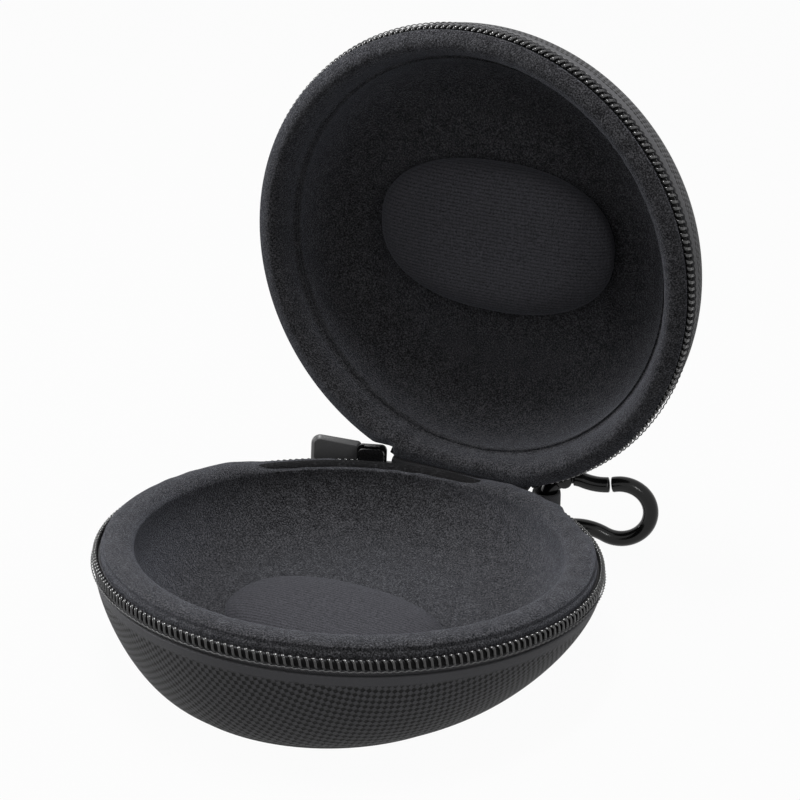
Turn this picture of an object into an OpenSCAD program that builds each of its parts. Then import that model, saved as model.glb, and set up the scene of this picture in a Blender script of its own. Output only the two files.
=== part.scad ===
// Round hard-shell zip travel case, standing open.
// World frame: +Z up, origin at the centre of the face that it rests on, hinge at +Y.
// The rim frame lies in the rim: its Z is the rim's normal and z = 0 is the parting plane.

/* [Rim] */
// Radius of the zipper coil's centre line
coil_r = 60; // [54:0.5:70]
// Height of the rim's centre above the resting face
rim_h = 24.5; // [22:0.5:32]
// Fall of the rim towards the hinge, degrees
rim_tilt = 5.2; // [0:0.2:6]
// Distance of the rim's centre behind the foot's centre
rim_shift = 8; // [0:0.5:10]

/* [Zipper] */
// Radial thickness of one row of teeth
tooth_w = 1.6; // [1.2:0.1:2]
// Height of one row of teeth
tooth_h = 2.4; // [2.2:0.1:3.4]
// Thickness of one tooth along the rim
tooth_t = 0.95; // [0.7:0.05:1.1]
// Distance from one tooth to the next along the rim
tooth_pitch = 1.65; // [1.5:0.05:2]
// Space from the parting plane to the teeth
parting_gap = 0.5; // [0.4:0.05:0.6]
// Thickness of the zipper tape
tape_t = 0.6; // [0.4:0.05:0.8]
// Space from the parting plane to the tape's edge
tape_start = 1; // [0.8:0.1:1.4]
// Height of the base's tape above the cover's edge behind the hinge
tape_hem = 0.3; // [0.2:0.05:0.5]
// Length along the rim of each end stop
stop_len = 2; // [1.5:0.1:2.4]

/* [Shells] */
// Thickness of the woven outer cover
cover_t = 0.9; // [0.6:0.1:1.2]
// Height of the band that the covers leave free beside the parting plane
cover_drop = 4.6; // [4.5:0.1:5.4]
// Glue line between two layers
layer_gap = 0.1; // [0.05:0.01:0.15]
// Radius of the base's flat bottom
base_flat_r = 43.6; // [38:0.2:48]
// Roundness of the base's side, 1 is straight and 2 is an ellipse
base_round = 1.5; // [1.3:0.1:2]
// Height of the lid above the parting plane
lid_h = 26; // [24:0.5:32]
// Radius of the lid's flat top
lid_flat_r = 39; // [34:0.5:44]
// Roundness of the lid's side
lid_round = 2; // [1.6:0.1:2.4]
// Thickness of the smooth foot
foot_t = 1.4; // [1:0.1:2]
// Distance of the foot's edge inside the flat bottom's edge
foot_inset = 1; // [0.5:0.1:3]

/* [Lining] */
// Thickness of the lining
lining_t = 1; // [0.6:0.1:1.4]
// Width of the channel beside the tape that the slider's inner plate runs in
channel_w = 1.4; // [1.3:0.05:1.8]
// Width of the base's rolled lip
lip_w = 6; // [4.5:0.1:8]
// Height of the base's lip above the parting plane
lip_h = 2.6; // [1.8:0.1:3]
// Radius of the base's floor
floor_r = 36; // [30:0.5:38]
// Height of the base's floor above the resting face
floor_z = 5.4; // [5:0.1:7]
// Width of the lid's rolled lip
lid_lip_w = 5.6; // [4.5:0.1:8]
// Height of the lid's lip, from its crest to its sides
lid_lip_h = 2.1; // [1.6:0.1:2.6]
// Space between the two lips of the closed case
lip_gap = 0.4; // [0.3:0.1:0.8]
// Radius of the lid's dish floor
dish_r = 35; // [30:0.5:38]
// Thickness of lid behind the dish floor, cover and lining included
dish_back = 4.4; // [4:0.1:6]

/* [Pads] */
// Length of the base's oval pad, along the hinge
base_pad_l = 56; // [44:1:62]
// Width of the base's oval pad
base_pad_w = 34; // [28:1:46]
// Height of the base's oval pad
base_pad_h = 6; // [4:0.5:9]
// Length of the lid's oval pad, along the hinge
lid_pad_l = 66; // [50:1:68]
// Width of the lid's oval pad
lid_pad_w = 40; // [30:1:50]
// Height of the lid's oval pad
lid_pad_h = 10.6; // [8:0.2:11]
// Distance of the lid pad's centre from the lid's centre, towards the front
lid_pad_shift = 2.4; // [0:0.2:5]

/* [Hinge] */
// Width of the cloth hinge
hinge_w = 38; // [30:1:40]
// Thickness of the cloth hinge
hinge_t = 0.8; // [0.6:0.1:1]
// Distance of the hinge axis inside the coil's centre line
hinge_inset = 1.9; // [1.6:0.1:2.1]
// Space from the hinge axis to each sewn half
hinge_gap = 0.7; // [0.6:0.05:1]
// Angle that the lid stands open
open_angle = 83.9; // [0:0.1:95]

/* [Slider and pull] */
// Place of the slider round the rim, degrees from +X
slider_angle = 115; // [114:0.5:140]
// Length of the slider along the rim
slider_len = 8; // [7:0.1:8.4]
// Space between the teeth and the slider's flanges
flange_gap = 0.15; // [0.1:0.05:0.2]
// Thickness of the slider's flanges
flange_t = 0.45; // [0.35:0.05:0.5]
// Thickness of the slider's outer plate
plate_t = 1; // [0.8:0.1:1.2]
// Thickness of the slider's inner plate
inner_plate_t = 0.75; // [0.6:0.05:0.85]
// Space between the teeth and the outer plate
plate_gap = 0.35; // [0.25:0.05:0.5]
// Thickness of the post that joins the two plates
post_t = 0.6; // [0.4:0.1:0.7]
// Length of the post along the rim
post_len = 3; // [2:0.5:4]
// Width of the bridge
bridge_w = 1.8; // [1.4:0.1:2.2]
// Radius of the pull link's wire
wire_r = 0.5; // [0.4:0.05:0.6]
// Distance between the link's two arms
link_w = 4.8; // [4.4:0.1:5.8]
// Distance from the pull's pivot to its far end
pull_len = 16.5; // [14:0.5:20]
// Distance from the pull's pivot to the tab's near end
tab_start = 3.1; // [3.1:0.1:5]
// Height of the pull tab at its far end
tab_h = 10; // [8:0.5:12]
// Height of the pull tab at its near end
tab_root_h = 6.8; // [6.6:0.1:8]
// Thickness of the pull tab
tab_t = 2.4; // [2:0.1:2.6]
// Angle by which the pull leans on the case
pull_lean = 5; // [2:0.5:6]
// Space kept free round the parked slider by the lid's zipper
park_gap = 0.4; // [0.3:0.1:0.8]

/* [Hook] */
// Radius of the hook's round bar
bar_r = 2.05; // [1.6:0.05:2.3]
// Centre line radius of the hook's outer end
outer_r = 7.95; // [7.6:0.05:8.2]
// Centre line radius of the hook's end that hangs in the webbing
hang_r = 7; // [6.9:0.05:7.4]
// Half of the centre line width at the waist
waist_w = 6.5; // [6.2:0.1:6.6]
// Distance from the outer end's centre to the waist
waist_x = 8; // [7.6:0.1:8.2]
// Angle of the hook's length from +X, seen from above
hook_turn = 19.9; // [16:0.1:30]
// Slope of the hook's length down to its outer end
hook_dip = 8; // [6:0.5:10]
// Height of the hook's lowest point above the resting face
hook_clear = 0.3; // [0.2:0.1:1.5]
// Place of the webbing loop round the rim, degrees from +X
loop_angle = 74; // [73.6:0.2:78]
// Distance from the cover to the middle of the webbing loop
loop_reach = 11; // [10:0.1:12]
// Width of the webbing
webbing_w = 5.6; // [5:0.1:5.7]
// Thickness of the webbing
webbing_t = 0.8; // [0.6:0.1:1.1]
// Space between the webbing loop and the hook's bar
loop_slack = 0.95; // [0.9:0.01:1]
// Place of the gate's pivot on the hanging end, degrees from the hook's length
gate_angle = 118; // [112:1:122]
// Place of the gate's nose on the waist, degrees past the hanging end's side
gate_reach = 28; // [24:0.5:30]
// Radius of the gate's pin
pin_r = 0.6; // [0.45:0.05:0.7]
// Running clearance of the gate on its pin
pin_fit = 0.05; // [0.02:0.01:0.1]
// Thickness of the gate's tongue between the two ears
tongue_t = 1.3; // [1:0.1:1.6]
// Space beside the tongue and at the gate's nose
gate_gap = 0.3; // [0.2:0.05:0.4]

/* [Hidden] */
$fn = 96;

// How finely the lofted forms are cut.
sides = 64;
side_steps = 10;
tape_steps = 4;
lip_steps = 8;
wall_steps = 8;
pad_sides = 48;
bar_sides = 12;
eps = 0.01;

// Radii from the teeth inwards, all at the covers' edge.
tooth_out = coil_r + tooth_w / 2;
tooth_in = coil_r - tooth_w / 2;
tape_out = tooth_in - layer_gap;
cover_edge_r = tape_out + layer_gap + cover_t;
in_cover = cover_t + layer_gap;
in_tape = in_cover + tape_t + layer_gap;
core_edge_r = cover_edge_r - in_tape;
lip_side_r = core_edge_r - channel_w;
glue = lining_t + layer_gap;

// Lips: the crest of each, and the lid's sides above it.
lip_mid_r = lip_side_r - lip_w / 2;
lid_lip_mid_r = lip_side_r - lid_lip_w / 2;
lid_lip_side = lip_h + lip_gap + lid_lip_h;
dish_z = lid_h - dish_back;

hinge_y = coil_r - hinge_inset;
hinge_half = asin(hinge_w / 2 / coil_r);
degrees_per_mm = 180 / (PI * coil_r);
stop_from = 90 + hinge_half + 0.8;
teeth_from = stop_from + (stop_len + tooth_pitch) * degrees_per_mm;
tooth_step = tooth_pitch * degrees_per_mm;
tooth_count = floor((540 - 2 * teeth_from) / tooth_step) + 1;

// The lid's row starts past the parked slider, which the lid turns away from.
parked_half = (slider_len / 2 + park_gap) * degrees_per_mm;
parked_teeth = ceil((slider_angle + parked_half - teeth_from) / tooth_step);

// Slider and pull, outwards from the teeth in the rim frame.
plate_x = tooth_out + plate_gap;
bridge_x = plate_x + plate_t;
inner_plate_x = lip_side_r + (channel_w + layer_gap - inner_plate_t) / 2;
wire_gap = 0.15;
pivot_x = bridge_x + tab_t / 2 + slider_len / 2 * sin(pull_lean) + wire_gap;
bridge_hole_l = 3;
bridge_wall = 0.9;
bridge_h = pivot_x + wire_r + wire_gap - bridge_x + bridge_wall;
arm_r = wire_r * 0.9;
link_l = tab_start + 2;
tab_corner_r = 2.4;
flange_reach = 1.2;
slider_h = 2 * (parting_gap + tooth_h + flange_gap + flange_t);
slider_corner_r = 1.6;
inner_corner_r = 1.4;

// Hook: two round ends joined by waists that curve the other way.
waist_r = (outer_r * outer_r - waist_x * waist_x - waist_w * waist_w) / (2 * (waist_w - outer_r));
hang_x = sqrt(pow(hang_r + waist_r, 2) - pow(waist_w + waist_r, 2));
hook_l = waist_x + hang_x;
waist_y = waist_w + waist_r;
outer_turn = atan2(waist_y, waist_x);
hang_turn = atan2(waist_y, hang_x);
loop_r = cover_edge_r + loop_reach;
loop_x = loop_r * cos(loop_angle);
loop_y = rim_shift + loop_r * sin(loop_angle);
hang_z = hook_clear + bar_r + outer_r + hook_l * sin(hook_dip);
ear_r = bar_r;
tongue_r = ear_r - gate_gap / 2;

// A point of the rim frame in the world.
function to_world(p) = [p[0],
    rim_shift + p[1] * cos(rim_tilt) + p[2] * sin(rim_tilt),
    rim_h - p[1] * sin(rim_tilt) + p[2] * cos(rim_tilt)];

// A circle of the rim frame, and a level circle round the foot's centre.
function rim_ring(r, z) =
    [for (i = [0:sides - 1]) to_world([r * cos(i * 360 / sides), r * sin(i * 360 / sides), z])];
function level_ring(r, z) =
    [for (i = [0:sides - 1]) [r * cos(i * 360 / sides), r * sin(i * 360 / sides), z]];

// Goes from ring a to ring b, h of the way sideways and k of the way down.
function mix_ring(a, b, h, k) = [for (i = [0:len(a) - 1])
    [a[i][0] + (b[i][0] - a[i][0]) * h,
     a[i][1] + (b[i][1] - a[i][1]) * h,
     a[i][2] + (b[i][2] - a[i][2]) * k]];
function bowl_ring(top, bottom, roundness, turn) =
    mix_ring(top, bottom, 1 - pow(cos(turn), 2 / roundness), pow(sin(turn), 2 / roundness));

// The base's side, inset from the outer skin, at step i from its edge to its flat bottom.
function side_ring(inset, i) = bowl_ring(
    rim_ring(cover_edge_r - inset, -cover_drop),
    level_ring(base_flat_r - inset, foot_t + layer_gap + inset),
    base_round, 90 * i / side_steps);

// The base's lining, inset from its visible face: lip from its outer side inwards, then wall.
function lip_ring(inset, i) = rim_ring(
    lip_mid_r + (lip_w / 2 - inset) * cos(180 * i / lip_steps),
    (lip_h - inset) * sin(180 * i / lip_steps));
function wall_ring(inset, i) = bowl_ring(
    rim_ring(lip_side_r - lip_w + inset, 0),
    level_ring(floor_r + inset, floor_z - inset),
    2, 90 * i / wall_steps);

// A closed solid through rings of points, with its two ends closed by fans.
module skin(rings) {
    m = len(rings[0]);
    n = len(rings);
    first = [for (k = [0:2]) ring_mean(rings[0], k)];
    last = [for (k = [0:2]) ring_mean(rings[n - 1], k)];
    polyhedron(
        points = concat([for (r = rings) each r], [first, last]),
        faces = concat(
            [for (i = [0:m - 1]) [n * m, i, (i + 1) % m]],
            [for (j = [0:n - 2], i = [0:m - 1]) [j * m + i, (j + 1) * m + i, (j + 1) * m + (i + 1) % m]],
            [for (j = [0:n - 2], i = [0:m - 1]) [j * m + i, (j + 1) * m + (i + 1) % m, j * m + (i + 1) % m]],
            [for (i = [0:m - 1]) [n * m + 1, (n - 1) * m + (i + 1) % m, (n - 1) * m + i]]),
        convexity = 6);
}
function ring_mean(ring, k) = ring_sum([for (p = ring) p[k]]) / len(ring);
function ring_sum(v, i = 0) = i == len(v) ? 0 : v[i] + ring_sum(v, i + 1);

// A closed band through rings, the last joined to the first.
module band(rings) {
    m = len(rings[0]);
    n = len(rings);
    polyhedron(
        points = [for (r = rings) each r],
        faces = concat(
            [for (j = [0:n - 1], i = [0:m - 1])
                [j * m + i, ((j + 1) % n) * m + i, ((j + 1) % n) * m + (i + 1) % m]],
            [for (j = [0:n - 1], i = [0:m - 1])
                [j * m + i, ((j + 1) % n) * m + (i + 1) % m, j * m + (i + 1) % m]]),
        convexity = 6);
}

module rim_frame() {
    translate([0, rim_shift, rim_h]) rotate([-rim_tilt, 0, 0]) children();
}
module lid_frame() {
    rim_frame() translate([0, hinge_y, 0]) rotate([-open_angle, 0, 0]) translate([0, -hinge_y, 0])
        children();
}

module base_foot() {
    edge = 0.6;
    foot_r = base_flat_r - foot_inset;
    color("#1c1d20") rotate_extrude() polygon([[0, 0], [foot_r - edge, 0],
        for (i = [1:4]) [foot_r - edge + edge * sin(i * 22.5), edge - edge * cos(i * 22.5)],
        [foot_r, foot_t], [0, foot_t]]);
}

module base_cover() {
    color("#26282c") skin(concat(
        [for (i = [side_steps:-1:0]) side_ring(0, i)],
        [for (i = [0:side_steps]) side_ring(cover_t, i)]));
}

module base_core() {
    color("#3a3b3e") skin(concat(
        [for (i = [side_steps:-1:tape_steps + 1]) side_ring(in_cover, i)],
        [for (i = [tape_steps + 1:-1:0]) side_ring(in_tape, i)],
        [rim_ring(lip_side_r - glue, -cover_drop)],
        [for (i = [0:lip_steps]) lip_ring(glue, i)],
        [for (i = [1:wall_steps]) wall_ring(glue, i)]));
}

module base_lining() {
    color("#202126") skin(concat(
        [for (i = [wall_steps:-1:1]) wall_ring(lining_t, i)],
        [for (i = [lip_steps:-1:0]) lip_ring(lining_t, i)],
        [rim_ring(lip_side_r - lining_t, -cover_drop + layer_gap)],
        [rim_ring(lip_side_r, -cover_drop + layer_gap)],
        [for (i = [0:lip_steps]) lip_ring(0, i)],
        [for (i = [1:wall_steps]) wall_ring(0, i)]));
}

// A crowned oval pad on z = 0 whose sides draw in towards its foot.
module oval_pad(l, w, h) {
    pad_round = 0.42;
    tuck = 34;
    crown = 86;
    pad_steps = 11;
    function level(a) = h * (sin(a) + sin(tuck)) / (1 + sin(tuck));
    skin([for (j = [0:pad_steps]) let (a = -tuck + (crown + tuck) * j / pad_steps, s = pow(cos(a), pad_round))
        [for (i = [0:pad_sides - 1])
            [l / 2 * s * cos(i * 360 / pad_sides), w / 2 * s * sin(i * 360 / pad_sides), level(a)]]]);
}

module base_pad() {
    color("#17181b") translate([0, 0, floor_z + layer_gap])
        oval_pad(base_pad_l, base_pad_w, base_pad_h);
}

// The free edge of the base's tape: it runs low behind the hinge.
function edge_ring(r) = [for (i = [0:sides - 1]) let (a = i * 360 / sides)
    to_world([r * cos(a), r * sin(a), abs(a - 90) < hinge_half ? tape_hem - cover_drop : -tape_start])];

module lower_tape() {
    color("#232428") band(concat(
        [for (i = [tape_steps:-1:0]) side_ring(in_cover, i)],
        [edge_ring(tape_out)],
        [edge_ring(tape_out - tape_t)],
        [for (i = [0:tape_steps]) side_ring(in_cover + tape_t, i)]));
}

// One row of teeth in the rim frame; up is 1 for the lid and 0 for the base.
module teeth(up) {
    for (i = [up * parked_teeth:tooth_count - 1 - up])
        rotate([0, 0, teeth_from + (i + up / 2) * tooth_step])
            translate([tooth_in, -tooth_t / 2, up * (tooth_h + 2 * parting_gap) - parting_gap - tooth_h])
                cube([tooth_w, tooth_t, tooth_h]);
}
module stops(up) {
    for (a = [stop_from + stop_len / 2 * degrees_per_mm, 180 - stop_from - stop_len / 2 * degrees_per_mm])
        rotate([0, 0, a])
            translate([tooth_in, -stop_len / 2, up * (tooth_h + 2 * parting_gap) - parting_gap - tooth_h])
                cube([tooth_w, stop_len, tooth_h]);
}

module lower_teeth() {
    color("#44464b") rim_frame() teeth(0);
}
module lower_stops() {
    color("#55575c") rim_frame() stops(0);
}
module upper_teeth() {
    color("#44464b") lid_frame() teeth(1);
}
module upper_stops() {
    color("#55575c") lid_frame() stops(1);
}

module hinge_strip_base() {
    color("#1f2024") rim_frame()
        translate([-hinge_w / 2, hinge_y - hinge_t / 2, -cover_drop + tape_hem + layer_gap])
            cube([hinge_w, hinge_t, cover_drop - tape_hem - layer_gap - hinge_gap]);
}
module hinge_strip_lid() {
    color("#1f2024") lid_frame()
        translate([-hinge_w / 2, hinge_y - hinge_t / 2, hinge_gap])
            cube([hinge_w, hinge_t, cover_drop - layer_gap / 2 - hinge_gap]);
}

// A quarter of a rounded outline, from [r0, z0] upwards to [r1, z1].
function quarter(r0, z0, r1, z1, roundness, steps) = [for (i = [0:steps]) let (a = 90 * i / steps)
    [r1 + (r0 - r1) * pow(max(0, cos(a)), 2 / roundness), z0 + (z1 - z0) * pow(sin(a), 2 / roundness)]];
function reversed(v) = [for (i = [len(v) - 1:-1:0]) v[i]];
function part_of(v, from, to) = [for (i = [from:to]) v[i]];
function lid_side(inset) =
    quarter(cover_edge_r - inset, cover_drop, lid_flat_r - inset, lid_h - inset, lid_round, side_steps);

// The lid's lining, inset from its visible face: the lip from its outer side, then the dish.
function lid_lip(inset) = [for (i = [0:lip_steps])
    [lid_lip_mid_r + (lid_lip_w / 2 - inset) * cos(180 * i / lip_steps),
     lid_lip_side - (lid_lip_h - inset) * sin(180 * i / lip_steps)]];
function dish(inset) = part_of(
    quarter(lip_side_r - lid_lip_w + inset, lid_lip_side, dish_r + inset, dish_z + inset, 2.3, wall_steps),
    1, wall_steps);

module lid_cover() {
    color("#26282c") lid_frame() rotate_extrude() polygon(concat(
        lid_side(0), [[0, lid_h], [0, lid_h - cover_t]], reversed(lid_side(cover_t))));
}

module lid_core() {
    color("#3a3b3e") lid_frame() rotate_extrude() polygon(concat(
        part_of(lid_side(in_tape), 0, tape_steps + 1),
        part_of(lid_side(in_cover), tape_steps + 1, side_steps),
        [[0, lid_h - in_cover], [0, dish_z + glue]],
        reversed(dish(glue)), reversed(lid_lip(glue)),
        [[lip_side_r - glue, lid_lip_side + layer_gap], [lip_side_r + layer_gap, lid_lip_side + layer_gap],
         [lip_side_r + layer_gap, cover_drop]]));
}

module lid_lining() {
    color("#202126") lid_frame() rotate_extrude() polygon(concat(
        lid_lip(0), dish(0), [[0, dish_z], [0, dish_z + lining_t]],
        reversed(dish(lining_t)), reversed(lid_lip(lining_t))));
}

module lid_pad() {
    color("#2a2b30") lid_frame() translate([0, -lid_pad_shift, dish_z - layer_gap]) mirror([0, 0, 1])
        oval_pad(lid_pad_l, lid_pad_w, lid_pad_h);
}

// What the lid's tape leaves free, for the hinge and for the parked slider.
module hinge_window() {
    translate([-hinge_w / 2 - layer_gap, 0, 0]) cube([hinge_w + 2 * layer_gap, 2 * coil_r, cover_drop]);
}
module parked_slider_notch() {
    rotate([0, 0, slider_angle]) translate([tape_out - 2 * tape_t, -slider_len / 2 - park_gap, 0])
        cube([3 * tape_t, slider_len + 2 * park_gap, slider_h / 2 - flange_t - park_gap]);
}

module upper_tape() {
    color("#232428") lid_frame() difference() {
        rotate_extrude() polygon(concat(
            [[tape_out - tape_t, tape_start], [tape_out, tape_start]],
            part_of(lid_side(in_cover), 0, tape_steps),
            reversed(part_of(lid_side(in_cover + tape_t), 0, tape_steps))));
        hinge_window();
        parked_slider_notch();
    }
}

module at_slider() {
    rim_frame() rotate([0, 0, slider_angle]) children();
}

// A plate with round corners, standing across X.
module round_plate(x, t, l, h, r) {
    translate([x, 0, 0]) rotate([90, 0, 90]) linear_extrude(t) union() {
        square([l - 2 * r, h], center = true);
        square([l, h - 2 * r], center = true);
        for (u = [-1, 1], v = [-1, 1]) translate([u * (l / 2 - r), v * (h / 2 - r)]) circle(r);
    }
}

module slider_body() {
    color("#6b6d72") at_slider() {
        round_plate(plate_x, plate_t, slider_len, slider_h, slider_corner_r);
        round_plate(inner_plate_x, inner_plate_t, slider_len - 1, slider_h, inner_corner_r);
        translate([inner_plate_x + eps, -post_len / 2, -post_t / 2])
            cube([plate_x - inner_plate_x, post_len, post_t]);
        for (s = [-1, 1])
            translate([plate_x - flange_reach + eps, -slider_len / 4, s * (slider_h - flange_t) / 2 - flange_t / 2])
                cube([flange_reach, slider_len / 2, flange_t]);
    }
}

module slider_bridge() {
    color("#6b6d72") at_slider() translate([bridge_x, 0, 0]) difference() {
        translate([0, -bridge_hole_l / 2 - bridge_wall, -bridge_w / 2])
            cube([bridge_h, bridge_hole_l + 2 * bridge_wall, bridge_w]);
        translate([-eps, -bridge_hole_l / 2, -bridge_w])
            cube([bridge_h - bridge_wall + eps, bridge_hole_l, 2 * bridge_w]);
    }
}

module at_pull() {
    at_slider() translate([pivot_x, 0, 0]) rotate([0, 0, pull_lean]) children();
}

module pull_link() {
    color("#77797e") at_pull() {
        for (y = [0, link_l]) translate([0, y, -link_w / 2]) cylinder(h = link_w, r = wire_r, $fn = 24);
        for (s = [-1, 1]) translate([0, -wire_r, s * link_w / 2]) rotate([-90, 0, 0])
            cylinder(h = link_l + 2 * wire_r, r = arm_r, $fn = 24);
    }
}

module pull_tab() {
    seat = 0.05;
    color("#3c3d41") at_pull() difference() {
        translate([-tab_t / 2, 0, 0]) rotate([90, 0, 90]) linear_extrude(tab_t) hull() {
            translate([tab_start, -tab_root_h / 2]) square([0.1, tab_root_h]);
            for (s = [-1, 1]) translate([pull_len - tab_corner_r, s * (tab_h / 2 - tab_corner_r)])
                circle(tab_corner_r, $fn = 32);
        }
        for (s = [-1, 1])
            translate([-wire_r - seat, tab_start - 1, s * link_w / 2 - wire_r - seat])
                cube([2 * (wire_r + seat), link_l - tab_start + 1 + wire_r + seat, 2 * (wire_r + seat)]);
        translate([-wire_r - seat, link_l - wire_r - seat, -link_w / 2])
            cube([2 * (wire_r + seat), 2 * (wire_r + seat), link_w]);
    }
}

module hang_loop() {
    hole_r = bar_r + loop_slack;
    color("#2b2d31") translate([0, rim_shift, hang_z - webbing_w / 2]) rotate([0, 0, loop_angle])
        linear_extrude(webbing_w) difference() {
            union() {
                translate([loop_r, 0]) circle(hole_r + webbing_t);
                translate([cover_edge_r + layer_gap, -webbing_t - layer_gap])
                    square([loop_reach, 2 * (webbing_t + layer_gap)]);
            }
            translate([loop_r, 0]) circle(hole_r);
        }
}

// An arc of a bar's path: places and headings from angle a0 to a1.
function arc(c, r, a0, a1, steps) = [for (i = [0:steps]) let (a = a0 + (a1 - a0) * i / steps)
    [c[0] + r * cos(a), c[1] + r * sin(a), a + (a1 > a0 ? 90 : -90)]];
function bar_ring(p) = [for (i = [0:bar_sides - 1]) let (f = 360 * i / bar_sides)
    [p[0] - bar_r * cos(f) * sin(p[2]), p[1] + bar_r * cos(f) * cos(p[2]), bar_r * sin(f)]];
module bar(path) {
    skin([for (p = path) bar_ring(p)]);
}

// The hook's own frame: X along its length from the hanging end, Z across its plane.
module at_hook() {
    translate([loop_x + hang_r * cos(hook_turn), loop_y + hang_r * sin(hook_turn), hang_z])
        rotate([0, 0, hook_turn]) rotate([90, 0, 0]) rotate([0, 0, -hook_dip]) children();
}
module at_gate_pin() {
    rotate([0, 0, gate_angle]) translate([hang_r, 0, 0]) children();
}
nose_turn = 180 + hang_turn + gate_reach;
nose_gap_turn = gate_gap / waist_r * 180 / PI;

module hook_body() {
    ear_t = bar_r - tongue_t / 2 - gate_gap;
    color("#1b1c1f") at_hook() difference() {
        union() {
            bar(concat(
                part_of(arc([hang_x, waist_y], waist_r, nose_turn + nose_gap_turn, 360 - outer_turn, 2), 0, 1),
                arc([hook_l, 0], outer_r, 180 - outer_turn, outer_turn - 180, 22),
                part_of(arc([hang_x, -waist_y], waist_r, outer_turn, 180 - hang_turn, 5), 1, 5),
                part_of(arc([0, 0], hang_r, -hang_turn, gate_angle - 360, 18), 1, 18)));
            at_gate_pin() translate([0, 0, -bar_r]) cylinder(h = 2 * bar_r, r = ear_r);
        }
        at_gate_pin() translate([0, 0, -bar_r + ear_t])
            cylinder(h = 2 * (bar_r - ear_t), r = ear_r + gate_gap);
        at_gate_pin() translate([0, 0, -bar_r - 1]) cylinder(h = 2 * bar_r + 2, r = pin_r);
    }
}

module hook_gate() {
    clear_r = ear_r + gate_gap;
    tongue_inset = 0.2;
    color("#1b1c1f") at_hook() difference() {
        union() {
            difference() {
                bar(concat(
                    arc([0, 0], hang_r, gate_angle, hang_turn, 6),
                    part_of(arc([hang_x, waist_y], waist_r, 180 + hang_turn, nose_turn, 5), 1, 5)));
                at_gate_pin() translate([0, 0, -bar_r - 1]) cylinder(h = 2 * bar_r + 2, r = clear_r);
            }
            intersection() {
                at_gate_pin() translate([0, 0, -tongue_t / 2]) union() {
                    cylinder(h = tongue_t, r = tongue_r);
                    rotate([0, 0, -90]) translate([0, -tongue_r + tongue_inset, 0])
                        cube([clear_r + 1, 2 * (tongue_r - tongue_inset), tongue_t]);
                }
                translate([0, 0, -tongue_t]) cylinder(h = 2 * tongue_t, r = hang_r + tongue_r);
            }
        }
        at_gate_pin() translate([0, 0, -bar_r - 1]) cylinder(h = 2 * bar_r + 2, r = pin_r + pin_fit);
    }
}

module gate_pin() {
    color("#9a9ca1") at_hook() at_gate_pin() translate([0, 0, -bar_r])
        cylinder(h = 2 * bar_r, r = pin_r);
}

// Torsion spring beside the tongue, drawn as its plain coil.
module gate_spring() {
    spring_t = gate_gap - 2 * pin_fit;
    wire = 0.5;
    color("#9a9ca1") at_hook() at_gate_pin() translate([0, 0, tongue_t / 2 + pin_fit]) difference() {
        cylinder(h = spring_t, r = pin_r + wire);
        translate([0, 0, -1]) cylinder(h = spring_t + 2, r = pin_r + pin_fit);
    }
}

base_foot();
base_cover();
base_core();
base_lining();
base_pad();
lower_tape();
lower_teeth();
lower_stops();
hinge_strip_base();
lid_cover();
lid_core();
lid_lining();
lid_pad();
upper_tape();
upper_teeth();
upper_stops();
hinge_strip_lid();
slider_body();
slider_bridge();
pull_link();
pull_tab();
hang_loop();
hook_body();
hook_gate();
gate_pin();
gate_spring();
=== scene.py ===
"""Round zip travel case, open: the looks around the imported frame. Millimetres in the code."""
import math

import bpy
import numpy as np
from mathutils import Matrix, Vector

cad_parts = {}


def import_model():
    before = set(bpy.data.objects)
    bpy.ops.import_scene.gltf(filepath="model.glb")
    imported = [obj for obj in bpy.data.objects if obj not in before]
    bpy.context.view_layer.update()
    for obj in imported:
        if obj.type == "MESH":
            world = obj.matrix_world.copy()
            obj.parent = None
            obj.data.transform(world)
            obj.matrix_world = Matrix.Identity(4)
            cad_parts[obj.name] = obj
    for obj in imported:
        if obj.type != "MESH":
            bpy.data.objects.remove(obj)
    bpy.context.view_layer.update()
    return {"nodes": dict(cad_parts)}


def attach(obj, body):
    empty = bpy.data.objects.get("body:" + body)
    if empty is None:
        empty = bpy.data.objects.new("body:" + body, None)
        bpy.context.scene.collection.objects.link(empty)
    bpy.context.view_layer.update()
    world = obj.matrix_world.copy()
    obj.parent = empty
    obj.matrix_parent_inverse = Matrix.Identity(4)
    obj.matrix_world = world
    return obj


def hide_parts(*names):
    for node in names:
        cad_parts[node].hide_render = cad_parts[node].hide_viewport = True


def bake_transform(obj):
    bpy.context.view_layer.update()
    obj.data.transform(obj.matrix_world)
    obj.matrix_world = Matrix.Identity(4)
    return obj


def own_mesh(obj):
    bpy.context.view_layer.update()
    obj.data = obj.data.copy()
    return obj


MM = 0.001

# The case's driving sizes, the same as the frame's, in millimetres and degrees.
COIL_R = 60.0
RIM_H, RIM_TILT, RIM_SHIFT = 24.5, 5.2, 8.0
HINGE_ANGLE, HINGE_INSET, OPEN_ANGLE = 90.0, 1.9, 83.9
TOOTH_W, TOOTH_H, PARTING_GAP = 1.6, 2.4, 0.5
TAPE_T, TAPE_START, TAPE_HEM = 0.6, 1.0, 0.3
COVER_T, COVER_DROP, LAYER_GAP = 0.9, 4.6, 0.1
FOOT_T, BASE_FLAT_R, BASE_ROUND = 1.4, 43.6, 1.5
LID_H, LID_FLAT_R, LID_ROUND = 26.0, 39.0, 2.0
LINING_T, CHANNEL_W = 1.0, 1.4
LIP_W, LIP_H, FLOOR_R, FLOOR_Z = 6.0, 2.6, 36.0, 5.4
DISH_R, DISH_BACK, DISH_ROUND = 35.0, 4.4, 2.3
BASE_PAD, LID_PAD, LID_PAD_SHIFT = (56.0, 34.0, 6.0), (66.0, 40.0, 10.6), 2.4
HINGE_W = 38.0
TOOTH_PITCH, STOP_LEN, STOP_GAP_DEG = 1.65, 2.0, 0.8
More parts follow.
